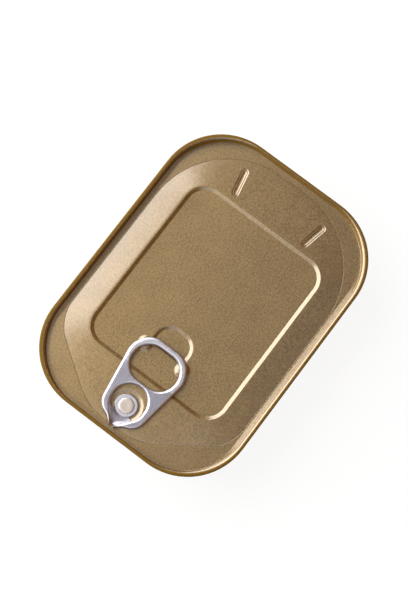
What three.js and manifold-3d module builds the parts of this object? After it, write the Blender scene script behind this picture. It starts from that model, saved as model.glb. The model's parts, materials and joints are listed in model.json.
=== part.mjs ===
// Rectangular easy-open food can: a drawn body, an end rolled onto it in a double seam, a scored tear panel
// in that end, and a ring-pull tab riveted to the panel.
// Millimetres, +Z up. The origin is the middle of the standing face. +X points away from the tab.

import * as THREE from "three";
import { mergeVertices } from "three/addons/utils/BufferGeometryUtils.js";
import Module from "manifold-3d";

const wasm = await Module();
wasm.setup();

// Can, measured over the seam
const CAN_LENGTH = 106;
const CAN_WIDTH = 77;
const CAN_HEIGHT = 22;
const CORNER_RADIUS = 22.2;

// Sheet metal and the double seam
const BODY_SHEET = 0.22;
const END_SHEET = 0.22;
const SEAM_GAP = 0.05;
const SEAM_HEIGHT = 2.8;
const SEAM_EDGE = 0.45;
const HOOK_GAP = 0.25;
const COMPOUND_THICKNESS = 0.2;
const COMPOUND_SIDE_GAP = 0.1;

// Drawn body below the seam
const WALL_DRAFT = 0.8;
const BASE_RADIUS = 2;
const STAND_WIDTH = 4;
const BASE_RECESS = 0.6;
const BASE_STEP = 1.2;

// End: countersink, chuck wall and flat margin
const COUNTERSINK = 3.1;
const CHUCK_LEAN = 0.45;
const CHUCK_FOOT = 0.35;

// Score line round the tear panel, placed from the outer faces of the seam
const SCORE_SIDE_MARGIN = 3.5;
const SCORE_TAB_MARGIN = 3.1;
const SCORE_FAR_MARGIN = 3.2;
const SCORE_FAR_RADIUS = 30;
const SHOULDER_HALF_WIDTH = 10;
const SHOULDER_LENGTH = 17.2;
const SHOULDER_END_RADIUS = 20;
const SHOULDER_SIDE_RADIUS = 13;
const SCORE_GAP = 0.1;
const SCORE_WIDTH = 0.34;
const SCORE_RESIDUAL = 0.1;

// Tear panel: a crown that rises inward from the score, round a sunk middle
const CROWN_RISE = 0.55;
const CROWN_SIDE = 8.2;
const CROWN_TAB_END = 18.3;
const CROWN_FAR_END = 16.9;
const RECESS_RADIUS = 7.5;
const RECESS_DEPTH = 0.9;
const RECESS_WALL = 1.2;

// Two stiffening beads in the crown at the far end
const BEAD_WIDTH = 2.2;
const BEAD_DEPTH = 0.45;
const BEAD_WALL = 0.7;
const BEAD_START = 1.8;
const BEAD_END_GAP = 5.1;
const BEAD_SIDE_GAP = 19.7;
const BEAD_SPLAY = THREE.MathUtils.degToRad(12);

// Finger well under the end of the ring, and the two rests that the ring lies over
const WELL_RADIUS = 6.2;
const WELL_DEPTH = 0.6;
const WELL_WALL = 1;
const WELL_PAST_RING = 0.2;
const REST_RADIUS = 2;
const REST_WALL = 1.1;
const REST_GAP = 0.4;
const REST_ANGLE = THREE.MathUtils.degToRad(118);
const REST_CLEARANCE = 0.3;

// Rivet, drawn up from the sheet as a hollow button
const RIVET_SETBACK = 7.7;
const RIVET_HEAD_RADIUS = 2.6;
const RIVET_HEAD_HEIGHT = 0.55;
const RIVET_SHANK_RADIUS = 1.7;
const RIVET_FLANGE_RADIUS = 3;
const RIVET_CLEARANCE = 0.1;

// Tongue: the flat island that the rivet clamps, with a neck that runs to the nose of the tab
const TONGUE_RADIUS = 3.9;
const TONGUE_SHEET = 0.35;
const TONGUE_LIFT = 0.1;
const NECK_NOSE_HALF_WIDTH = 0.9;
const NECK_ROOT_HALF_WIDTH = 3.3;
const NECK_LENGTH = 2.7;
const NECK_CLEARANCE = 0.3;

// Pull tab: nose, arms round the rivet window, web, and ring round the finger hole
const TAB_LIFT = 0.3;
const TAB_THICKNESS = 1.2;
const TAB_EDGE = 0.5;
const NOSE_OVERHANG = 0.5;
const NOSE_HALF_WIDTH = 1;
const NOSE_RADIUS = 1.5;
const NOSE_BRIDGE = 1.2;
const ARM_BAND = 2.45;
const ARM_SETBACK = 4.9;
const ARM_RADIUS = 4;
const FINGER_HOLE_LENGTH = 12.7;
const FINGER_HOLE_WIDTH = 16.8;
const FINGER_HOLE_RADIUS = 6.2;
const RING_END_BAND = 2.2;
const RING_SIDE_BAND = 2.4;
const RING_SHOULDER = 6.5;
const RING_DROP = 3.8;
const RING_RADIUS = 6.4;
const WINDOW_GAP = 1.9;
const WINDOW_OFFSET = 1.7;
const WINDOW_BAR = 1.4;
const SLOT_RADIUS = 0.5;
const WEB_RIM = 1.1;
const WEB_SUNK = 0.35;

// Facets: steps on each quarter turn of a large outline and of a small one, and of turned pieces
const LARGE_STEPS = 9;
const SHOULDER_END_STEPS = 3;
const SMALL_STEPS = 5;
const TURNED_STEPS = 24;
const EDGE_STEPS = 2;

// Finishes
const goldLacquer = { color: 0x98825f, roughness: 0.42, metalness: 0.9 };
const bodyLacquer = { color: 0x8d7145, roughness: 0.4, metalness: 0.9 };
const bareAluminium = { color: 0xb4b1b8, roughness: 0.32, metalness: 0.95 };
const palePressed = { color: 0xcabfb2, roughness: 0.38, metalness: 0.9 };
const rubberCompound = { color: 0x5e5348, roughness: 0.85, metalness: 0 };

// Insets of the folded layers from the seam's outer face, counted inward
const hookInset = END_SHEET + SEAM_GAP;
const coverHookInset = hookInset + BODY_SHEET + SEAM_GAP;
const wallInset = coverHookInset + END_SHEET + SEAM_GAP;
const chuckInset = wallInset + BODY_SHEET + SEAM_GAP;
const seamThickness = chuckInset + END_SHEET;

// Levels
const seamBottom = CAN_HEIGHT - SEAM_HEIGHT;
const seamRoof = CAN_HEIGHT - END_SHEET;
const bodyTop = seamRoof - COMPOUND_THICKNESS - 2 * SEAM_GAP;
const marginTop = CAN_HEIGHT - COUNTERSINK;
const crownTop = marginTop + CROWN_RISE;
const recessFloor = crownTop - RECESS_DEPTH;

// Places along and across the end
const scoreTabEnd = -CAN_LENGTH / 2 + SCORE_TAB_MARGIN;
const scoreFarEnd = CAN_LENGTH / 2 - SCORE_FAR_MARGIN;
const scoreHalfWidth = CAN_WIDTH / 2 - SCORE_SIDE_MARGIN;
const recessTabEnd = scoreTabEnd + CROWN_TAB_END;
const recessFarEnd = scoreFarEnd - CROWN_FAR_END;
const recessHalfWidth = scoreHalfWidth - CROWN_SIDE;

// The tab lies along the slope of the crown at its own end
const tabPitch = Math.atan2(CROWN_RISE, CROWN_TAB_END);
const farPitch = Math.atan2(CROWN_RISE, CROWN_FAR_END);
const windowRadius = TONGUE_RADIUS + WINDOW_GAP;
const windowCentre = RIVET_SETBACK + WINDOW_OFFSET;
const armHalfWidth = windowRadius + ARM_BAND;
const fingerHoleNear = windowCentre + windowRadius + WINDOW_BAR;
const fingerHoleFar = fingerHoleNear + FINGER_HOLE_LENGTH;
const tabReach = fingerHoleFar + RING_END_BAND;
const noseBack = NOSE_BRIDGE - NOSE_OVERHANG;
const neckEnd = noseBack + NECK_CLEARANCE;
const neckRoot = neckEnd + NECK_LENGTH;

// Rounds each corner of a convex polygon, listed anticlockwise, with an arc about its own centre. An arc
// takes at most half of the edges beside it.
function roundCorners(corners) {
  return corners.map((corner, index) => {
    const before = corners[(index + corners.length - 1) % corners.length];
    const after = corners[(index + 1) % corners.length];
    const arriving = new THREE.Vector2(corner.x - before.x, corner.y - before.y);
    const leaving = new THREE.Vector2(after.x - corner.x, after.y - corner.y);
    const shorter = Math.min(arriving.length(), leaving.length());
    const sweep = Math.atan2(arriving.cross(leaving), arriving.dot(leaving));
    const radius = Math.min(corner.radius, shorter / 2 / Math.tan(sweep / 2));
    arriving.normalize();
    const inward = new THREE.Vector2(-arriving.y, arriving.x);
    const centre = new THREE.Vector2(corner.x, corner.y)
      .addScaledVector(arriving, -radius * Math.tan(sweep / 2))
      .addScaledVector(inward, radius);
    const start = Math.atan2(arriving.y, arriving.x) - Math.PI / 2;
    return { centre, radius, start, sweep, steps: corner.steps };
  });
}

// Corners of a rectangle with one radius; a square whose radius is half its side is a circle.
function rectangle(xMin, xMax, yMin, yMax, radius, steps) {
  return roundCorners([
    { x: xMax, y: yMax, radius, steps },
    { x: xMin, y: yMax, radius, steps },
    { x: xMin, y: yMin, radius, steps },
    { x: xMax, y: yMin, radius, steps },
  ]);
}

function circle(radius) {
  return rectangle(-radius, radius, -radius, radius, radius, TURNED_STEPS / 4);
}

// A loop of points at one height, moved in from the outline by an even inset.
function loop(arcs, inset, z) {
  return arcs.flatMap((arc) =>
    Array.from({ length: arc.steps + 1 }, (_, step) => {
      const angle = arc.start + (arc.sweep * step) / arc.steps;
      const radius = arc.radius - inset;
      return new THREE.Vector3(
        arc.centre.x + radius * Math.cos(angle),
        arc.centre.y + radius * Math.sin(angle),
        z,
      );
    }),
  );
}

// A solid skinned over loops with equal point counts. A ring joins its last loop to its first; a stack
// closes its first loop from below and its last loop from above.
function skin(loops, isRing = false) {
  const count = loops[0].length;
  const points = loops.flat();
  const triangles = [];
  const bands = isRing ? loops.length : loops.length - 1;
  for (let band = 0; band < bands; band += 1) {
    const lower = band * count;
    const upper = ((band + 1) % loops.length) * count;
    for (let k = 0; k < count; k += 1) {
      const next = (k + 1) % count;
      triangles.push(lower + k, lower + next, upper + next);
      triangles.push(lower + k, upper + next, upper + k);
    }
  }
  if (!isRing) {
    const last = (loops.length - 1) * count;
    for (let k = 1; k < count - 1; k += 1) {
      triangles.push(0, k + 1, k);
      triangles.push(last, last + k, last + k + 1);
    }
  }
  const geometry = new THREE.BufferGeometry().setFromPoints(points);
  geometry.setIndex(triangles);
  return mergeVertices(geometry);
}

// Loops up a straight side that is rounded over at both faces: inward on a slab, outward on a hole.
function roundedSide(arcs, bottom, top, edge, direction) {
  const radius = Math.min(edge, (top - bottom) / 2);
  const lower = Array.from({ length: EDGE_STEPS + 1 }, (_, step) => {
    const angle = ((Math.PI / 2) * step) / EDGE_STEPS;
    return { inset: direction * radius * (1 - Math.sin(angle)), rise: radius * (1 - Math.cos(angle)) };
  });
  const upper = [...lower].reverse();
  return [
    ...lower.map(({ inset, rise }) => loop(arcs, inset, bottom + rise)),
    ...upper.map(({ inset, rise }) => loop(arcs, inset, top - rise)),
  ];
}

// A cutter for a hole with rounded edges, which stands out past both faces.
function holeCutter(arcs, bottom, top, edge) {
  return skin([
    loop(arcs, -edge, bottom - edge),
    ...roundedSide(arcs, bottom, top, edge, -1),
    loop(arcs, -edge, top + edge),
  ]);
}

// Joining and cutting of closed meshes.
function toSolid(geometry) {
  const bare = geometry.clone();
  bare.deleteAttribute("normal");
  bare.deleteAttribute("uv");
  const merged = mergeVertices(bare);
  return new wasm.Manifold(new wasm.Mesh({
    numProp: 3,
    vertProperties: new Float32Array(merged.attributes.position.array),
    triVerts: new Uint32Array(merged.index.array),
  }));
}

function toGeometry(solid) {
  const mesh = solid.getMesh();
  const geometry = new THREE.BufferGeometry();
  geometry.setAttribute("position", new THREE.BufferAttribute(mesh.vertProperties, mesh.numProp));
  geometry.setIndex(new THREE.BufferAttribute(mesh.triVerts, 1));
  return geometry;
}

// Presses a tool shape through a sheet: the far side follows the near one at the sheet's thickness.
function sink(sheet, tool, thickness) {
  const back = tool.clone().translate(0, 0, -thickness);
  return sheet.add(toSolid(back)).subtract(toSolid(tool));
}

function raise(sheet, tool, thickness) {
  const back = tool.clone().translate(0, 0, -thickness);
  return sheet.add(toSolid(tool)).subtract(toSolid(back));
}

// A tapered press tool below or above z = 0, whose wide end starts half a sheet past the surface.
function sinkTool(arcs, wall, depth, thickness) {
  const start = thickness / 2;
  return skin([loop(arcs, wall, -depth), loop(arcs, (-wall * start) / depth, start)]);
}

function raiseTool(arcs, wall, height, thickness) {
  const start = -thickness / 2;
  return skin([loop(arcs, (wall * start) / height, start), loop(arcs, wall, height)]);
}

function part(name, geometry, finish) {
  const mesh = new THREE.Mesh(geometry, new THREE.MeshStandardMaterial(finish));
  mesh.name = name;
  return mesh;
}

// Outlines of the end
const seamOutline = rectangle(
  -CAN_LENGTH / 2, CAN_LENGTH / 2, -CAN_WIDTH / 2, CAN_WIDTH / 2, CORNER_RADIUS, LARGE_STEPS,
);
const recessOutline = rectangle(
  recessTabEnd, recessFarEnd, -recessHalfWidth, recessHalfWidth, RECESS_RADIUS, LARGE_STEPS,
);

function scoreCorners() {
  const shoulderX = scoreTabEnd + SHOULDER_LENGTH;
  const far = { radius: SCORE_FAR_RADIUS, steps: LARGE_STEPS };
  const side = { radius: SHOULDER_SIDE_RADIUS, steps: LARGE_STEPS - SHOULDER_END_STEPS - 1 };
  const end = { radius: SHOULDER_END_RADIUS, steps: SHOULDER_END_STEPS };
  return roundCorners([
    { x: scoreFarEnd, y: scoreHalfWidth, ...far },
    { x: shoulderX, y: scoreHalfWidth, ...side },
    { x: scoreTabEnd, y: SHOULDER_HALF_WIDTH, ...end },
    { x: scoreTabEnd, y: -SHOULDER_HALF_WIDTH, ...end },
    { x: shoulderX, y: -scoreHalfWidth, ...side },
    { x: scoreFarEnd, y: -scoreHalfWidth, ...far },
  ]);
}
const scoreOutline = scoreCorners();

// Body: base with a sunk middle, drafted wall, and the hook that is folded into the seam
function canBody() {
  const foot = wallInset + WALL_DRAFT;
  const standOuter = foot + BASE_RADIUS;
  const standInner = standOuter + STAND_WIDTH;
  const at = (inset, z) => loop(seamOutline, inset, z);
  const baseCurve = (radius) =>
    Array.from({ length: SMALL_STEPS + 1 }, (_, step) => {
      const angle = ((Math.PI / 2) * step) / SMALL_STEPS;
      return at(standOuter - radius * Math.sin(angle), BASE_RADIUS - radius * Math.cos(angle));
    });
  const outside = [
    at(standInner + BASE_STEP, BASE_RECESS),
    at(standInner, 0),
    ...baseCurve(BASE_RADIUS),
    at(wallInset, seamBottom),
    at(wallInset, bodyTop - BODY_SHEET),
  ];
  const hook = [
    at(hookInset + BODY_SHEET, bodyTop - BODY_SHEET),
    at(hookInset + BODY_SHEET, seamBottom + END_SHEET + HOOK_GAP),
    at(hookInset, seamBottom + END_SHEET + HOOK_GAP),
    at(hookInset, bodyTop - BODY_SHEET),
    at(hookInset + BODY_SHEET, bodyTop),
    at(wallInset, bodyTop),
  ];
  const inside = [
    at(wallInset + BODY_SHEET, bodyTop - BODY_SHEET),
    at(wallInset + BODY_SHEET, seamBottom),
    ...baseCurve(BASE_RADIUS - BODY_SHEET).reverse(),
    at(standInner, BODY_SHEET),
    at(standInner + BASE_STEP, BASE_RECESS + BODY_SHEET),
  ];
  return part("can_body", skin([...outside, ...hook, ...inside]), bodyLacquer);
}

// Fixed ring of the end: margin outside the score, chuck wall, and the three layers it folds into the seam
function lidRing() {
  const at = (inset, z) => loop(seamOutline, inset, z);
  const footInset = seamThickness + CHUCK_LEAN;
  const marginUnder = marginTop - END_SHEET;
  const coverHookTop = bodyTop - BODY_SHEET - HOOK_GAP;
  const hookInner = coverHookInset + END_SHEET;
  const underside = [
    loop(scoreOutline, -SCORE_GAP / 2, marginUnder),
    at(footInset + CHUCK_FOOT, marginUnder),
    at(footInset - END_SHEET, marginUnder + CHUCK_FOOT),
    at(chuckInset, seamRoof),
  ];
  const folded = [
    at(END_SHEET, seamRoof),
    at(END_SHEET, seamBottom + END_SHEET),
    at(coverHookInset, seamBottom + END_SHEET),
    at(coverHookInset, coverHookTop),
    at(hookInner, coverHookTop),
    at(hookInner, seamBottom + END_SHEET),
    at(hookInner - END_SHEET, seamBottom),
  ];
  const quarter = Array.from({ length: EDGE_STEPS + 1 }, (_, step) => ((Math.PI / 2) * step) / EDGE_STEPS);
  const shrink = (angle) => SEAM_EDGE * (1 - Math.cos(angle));
  const drop = (angle) => SEAM_EDGE * (1 - Math.sin(angle));
  const outside = [
    at(END_SHEET, seamBottom),
    at(0, seamBottom + END_SHEET),
    ...quarter.map((angle) => at(shrink(angle), CAN_HEIGHT - drop(angle))),
    ...[...quarter].reverse().map((angle) => at(seamThickness - shrink(angle), CAN_HEIGHT - drop(angle))),
    at(footInset, marginTop + CHUCK_FOOT),
    at(footInset + CHUCK_FOOT, marginTop),
    loop(scoreOutline, -SCORE_WIDTH / 2, marginTop),
    loop(scoreOutline, -SCORE_GAP / 2, marginUnder + SCORE_RESIDUAL),
  ];
  return part("lid_ring", skin([...underside, ...folded, ...outside], true), goldLacquer);
}

// Sealing compound under the roof of the seam
function seamingCompound() {
  const outer = hookInset + COMPOUND_SIDE_GAP;
  const inner = chuckInset - SEAM_GAP - COMPOUND_SIDE_GAP;
  const bottom = bodyTop + SEAM_GAP;
  const top = bottom + COMPOUND_THICKNESS;
  const at = (inset, z) => loop(seamOutline, inset, z);
  const section = [at(inner, bottom), at(outer, bottom), at(outer, top), at(inner, top)];
  return part("seaming_compound", skin(section, true), rubberCompound);
}

// Tear panel: crowned sheet inside the score, with its sunk middle, beads, finger well, rests and rivet hole
function tearPanel() {
  const marginUnder = marginTop - END_SHEET;
  let sheet = toSolid(skin([
    loop(recessOutline, RECESS_WALL, recessFloor - END_SHEET),
    loop(recessOutline, 0, crownTop - END_SHEET),
    loop(scoreOutline, SCORE_GAP / 2, marginUnder),
    loop(scoreOutline, SCORE_GAP / 2, marginUnder + SCORE_RESIDUAL),
    loop(scoreOutline, SCORE_WIDTH / 2, marginTop),
    loop(recessOutline, 0, crownTop),
    loop(recessOutline, RECESS_WALL, recessFloor),
  ]));
  for (const tool of beadTools()) {
    sheet = sink(sheet, tool, END_SHEET);
  }
  const wellX = scoreTabEnd + tabReach + WELL_PAST_RING;
  const well = sinkTool(circle(WELL_RADIUS), WELL_WALL, WELL_DEPTH, END_SHEET);
  sheet = sink(sheet, well.translate(wellX, 0, recessFloor), END_SHEET);
  for (const tool of restTools(wellX)) {
    sheet = raise(sheet, tool, END_SHEET);
  }
  const holeRadius = RIVET_FLANGE_RADIUS + RIVET_CLEARANCE;
  const hole = skin([loop(circle(holeRadius), 0, -TAB_THICKNESS), loop(circle(holeRadius), 0, TAB_THICKNESS)]);
  hole.translate(RIVET_SETBACK, 0, 0).rotateY(-tabPitch).translate(scoreTabEnd, 0, marginTop);
  return part("tear_panel", toGeometry(sheet.subtract(toSolid(hole))), goldLacquer);
}

function beadTools() {
  const length = CROWN_FAR_END - BEAD_START - BEAD_END_GAP;
  const half = length / 2;
  const outline = rectangle(-half, half, -BEAD_WIDTH / 2, BEAD_WIDTH / 2, BEAD_WIDTH / 2, SMALL_STEPS);
  return [1, -1].map((side) =>
    sinkTool(outline, BEAD_WALL, BEAD_DEPTH, END_SHEET)
      .rotateZ(side * BEAD_SPLAY)
      .translate(-BEAD_END_GAP - half, side * (scoreHalfWidth - BEAD_SIDE_GAP), 0)
      .rotateY(farPitch)
      .translate(scoreFarEnd, 0, marginTop));
}

// The rests stand beside the well and stop just short of the ring that lies over them.
function restTools(wellX) {
  const distance = WELL_RADIUS + REST_RADIUS + REST_GAP;
  const restX = wellX + distance * Math.cos(REST_ANGLE);
  const restY = distance * Math.sin(REST_ANGLE);
  const ringUnder = marginTop + (restX - scoreTabEnd) * Math.tan(tabPitch) + TAB_LIFT;
  const height = ringUnder - REST_CLEARANCE - recessFloor;
  return [restY, -restY].map((y) =>
    raiseTool(circle(REST_RADIUS), REST_WALL, height, END_SHEET).translate(restX, y, recessFloor));
}

// Rivet: a hollow button with a flange level with the sheet, a shank through the tongue and a domed head
function rivet() {
  const headBottom = TONGUE_LIFT + TONGUE_SHEET + RIVET_CLEARANCE;
  const headTop = headBottom + RIVET_HEAD_HEIGHT;
  const headRim = headBottom + RIVET_HEAD_HEIGHT / 2;
  const boreRadius = RIVET_SHANK_RADIUS - END_SHEET;
  const profile = [
    [0, headTop - END_SHEET],
    [boreRadius, headTop - END_SHEET],
    [boreRadius, -END_SHEET],
    [RIVET_FLANGE_RADIUS, -END_SHEET],
    [RIVET_FLANGE_RADIUS, 0],
    [RIVET_SHANK_RADIUS, 0],
    [RIVET_SHANK_RADIUS, headBottom],
    [RIVET_HEAD_RADIUS, headBottom],
    [RIVET_HEAD_RADIUS, headRim],
    [RIVET_SHANK_RADIUS, headTop],
    [0, headTop],
  ].map(([radius, z]) => new THREE.Vector2(radius, z));
  const geometry = new THREE.LatheGeometry(profile, TURNED_STEPS).rotateX(Math.PI / 2);
  const button = part("rivet", geometry, palePressed);
  button.position.x = RIVET_SETBACK;
  return button;
}

// Tongue: island round the rivet with a neck that widens from the nose
function tabTongue() {
  const shape = new THREE.Shape();
  shape.moveTo(neckEnd, -NECK_NOSE_HALF_WIDTH);
  shape.lineTo(neckRoot, -NECK_ROOT_HALF_WIDTH);
  shape.lineTo(RIVET_SETBACK, -TONGUE_RADIUS);
  shape.absarc(RIVET_SETBACK, 0, TONGUE_RADIUS, -Math.PI / 2, Math.PI / 2);
  shape.lineTo(neckRoot, NECK_ROOT_HALF_WIDTH);
  shape.lineTo(neckEnd, NECK_NOSE_HALF_WIDTH);
  const shankHole = new THREE.Path();
  shankHole.absarc(RIVET_SETBACK, 0, RIVET_SHANK_RADIUS + RIVET_CLEARANCE, 0, 2 * Math.PI);
  shape.holes.push(shankHole);
  const settings = { depth: TONGUE_SHEET, bevelEnabled: false, curveSegments: TURNED_STEPS };
  const geometry = new THREE.ExtrudeGeometry(shape, settings).translate(0, 0, TONGUE_LIFT);
  return part("tab_tongue", geometry, bareAluminium);
}

// Pull tab: one slab with rolled edges, a finger hole, a window round the tongue, and two sunk webs
function tabOutline() {
  const ringHalf = FINGER_HOLE_WIDTH / 2 + RING_SIDE_BAND;
  const half = [
    { x: tabReach, y: ringHalf - RING_DROP, radius: RING_RADIUS, steps: SMALL_STEPS },
    { x: tabReach - RING_SHOULDER, y: ringHalf, radius: RING_RADIUS, steps: SMALL_STEPS },
    { x: ARM_SETBACK, y: armHalfWidth, radius: ARM_RADIUS, steps: SMALL_STEPS },
    { x: -NOSE_OVERHANG, y: NOSE_HALF_WIDTH, radius: NOSE_RADIUS, steps: EDGE_STEPS },
  ];
  const mirrored = half.map((corner) => ({ ...corner, y: -corner.y })).reverse();
  return roundCorners([...half, ...mirrored]);
}

function fingerHoleOutline() {
  const half = FINGER_HOLE_WIDTH / 2;
  return rectangle(fingerHoleNear, fingerHoleFar, -half, half, FINGER_HOLE_RADIUS, SMALL_STEPS);
}

// The slot runs from the window to the nose, a little wider than the neck that lies in it.
function slotOutline() {
  const atNose = NECK_NOSE_HALF_WIDTH + NECK_CLEARANCE;
  const atRoot = NECK_ROOT_HALF_WIDTH + NECK_CLEARANCE;
  const half = [
    { x: windowCentre, y: atRoot },
    { x: neckRoot, y: atRoot },
    { x: noseBack, y: atNose },
  ].map((corner) => ({ ...corner, radius: SLOT_RADIUS, steps: EDGE_STEPS }));
  const mirrored = half.map((corner) => ({ ...corner, y: -corner.y })).reverse();
  return roundCorners([...half, ...mirrored]);
}

function pullTab() {
  const top = TAB_LIFT + TAB_THICKNESS;
  const outline = tabOutline();
  const fingerHole = fingerHoleOutline();
  const cutter = (arcs) => holeCutter(arcs, TAB_LIFT, top, TAB_EDGE);
  const blank = toSolid(skin(roundedSide(outline, TAB_LIFT, top, TAB_EDGE, 1)))
    .subtract(toSolid(cutter(fingerHole)))
    .subtract(toSolid(cutter(circle(windowRadius)).translate(windowCentre, 0, 0)))
    .subtract(toSolid(cutter(slotOutline())));
  const column = (arcs, inset) => skin([loop(arcs, inset, top - WEB_SUNK), loop(arcs, inset, top + WEB_SUNK)]);
  const webEnd = fingerHoleNear + WEB_RIM;
  const webSpan = new THREE.BoxGeometry(webEnd - windowCentre, 4 * armHalfWidth, 4 * WEB_SUNK)
    .translate((webEnd + windowCentre) / 2, 0, top);
  const webs = toSolid(column(outline, WEB_RIM))
    .intersect(toSolid(webSpan))
    .subtract(toSolid(column(fingerHole, -WEB_RIM)))
    .subtract(toSolid(column(circle(windowRadius), -WEB_RIM).translate(windowCentre, 0, 0)));
  return part("pull_tab", toGeometry(blank.subtract(webs)), bareAluminium);
}

// The tab, its tongue and the rivet share a frame that lies on the crown, with its origin on the score line.
const tabFrame = new THREE.Group();
tabFrame.position.set(scoreTabEnd, 0, marginTop);
tabFrame.rotation.y = -tabPitch;
tabFrame.add(rivet(), tabTongue(), pullTab());

const can = new THREE.Group();
can.add(canBody(), lidRing(), seamingCompound(), tearPanel(), tabFrame);

export default can;
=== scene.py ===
"""Looks of a shallow rectangular easy-open food can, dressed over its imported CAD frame.

Sizes are in millimetres and places are in the frame of the CAD model: +X runs away from the pull tab, +Z is
up, and the can stands on z = 0. Each mesh is scaled to metres as it is finished.
"""

import json
import logging
import math
from collections.abc import Callable, Iterable, Sequence
from dataclasses import dataclass, replace
from enum import Enum
from functools import cached_property

import bmesh
import bpy
from bmesh.types import BMEdge, BMesh, BMFace, BMVert
from mathutils import Matrix, Vector
from mathutils.bvhtree import BVHTree


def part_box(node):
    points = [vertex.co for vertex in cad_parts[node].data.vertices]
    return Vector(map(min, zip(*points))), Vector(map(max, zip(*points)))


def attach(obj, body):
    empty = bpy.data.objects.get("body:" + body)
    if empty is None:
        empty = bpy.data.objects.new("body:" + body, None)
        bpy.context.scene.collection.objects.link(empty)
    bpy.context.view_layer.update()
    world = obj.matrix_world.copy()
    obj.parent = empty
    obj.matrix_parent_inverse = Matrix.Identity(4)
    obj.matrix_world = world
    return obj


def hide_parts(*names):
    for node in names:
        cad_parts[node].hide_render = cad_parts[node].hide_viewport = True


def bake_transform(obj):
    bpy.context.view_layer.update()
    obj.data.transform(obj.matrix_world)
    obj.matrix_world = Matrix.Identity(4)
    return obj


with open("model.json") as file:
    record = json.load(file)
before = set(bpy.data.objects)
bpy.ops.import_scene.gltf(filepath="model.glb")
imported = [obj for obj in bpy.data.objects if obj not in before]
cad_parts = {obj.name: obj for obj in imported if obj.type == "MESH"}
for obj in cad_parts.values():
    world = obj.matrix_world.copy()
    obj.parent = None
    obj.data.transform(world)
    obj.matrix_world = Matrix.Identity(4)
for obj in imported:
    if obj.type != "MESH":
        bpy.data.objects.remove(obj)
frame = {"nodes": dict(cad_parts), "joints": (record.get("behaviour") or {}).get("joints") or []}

MM = 0.001
WHITE = "#ffffff"
SHARP_ANGLE = math.radians(38)
MERGE_DISTANCE = 1e-4
LOFT_CLEARANCE = Vector((0, 0, 8))
# A corner that turns half round is made this much smaller, so that it doesn't meet the next one
ROUND_SLACK = 0.02
LOG = logging.getLogger("food_can")


class Body(Enum):
    """Moving bodies of the can."""

    CAN = "can"
    PANEL = "lid_panel"
    TAB = "tab"


class Slot(Enum):
    """Material slots named in the record."""

    BODY = "body_lacquer"
    LID = "lid_lacquer"
    RIVET = "rivet_metal"
    TAB = "tab_metal"


class RingFinish(Enum):
    """Finishes of the lid ring, by the order of its materials."""

    MARGIN = 0
    # The outer roll's darker finish is painted shade, and the chuck wall's lighter finish is painted light
    OUTER_ROLL = 1
    CHUCK_WALL = 2


class TabFinish(Enum):
    """Finishes of the tab and its tongue, by the order of their materials."""

    BARE = 0
    # A paler copy of the bare grey, which paints highlights
    PAINTED_HIGHLIGHT = 1


def joint_place(name: str) -> Vector:
    """Find where a joint's axis passes.

    Args:
        name: the joint's name in the record.

    Returns:
        A point on the axis, in millimetres.
    """
    joint = next(joint for joint in frame["joints"] if joint["name"] == name)
    return Vector(joint["pos_m"]) / MM


def node_box(name: str) -> tuple[Vector, Vector]:
    """Give the lowest and highest corners of a CAD node, in millimetres."""
    low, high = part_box(name)
    return low / MM, high / MM


# Shapes in plan, and walls in section


@dataclass(frozen=True)
class Corner:
    """A corner of an outline in plan, and the radius that rounds it."""

    x: float
    y: float
    radius: float
    segments: int


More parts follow.
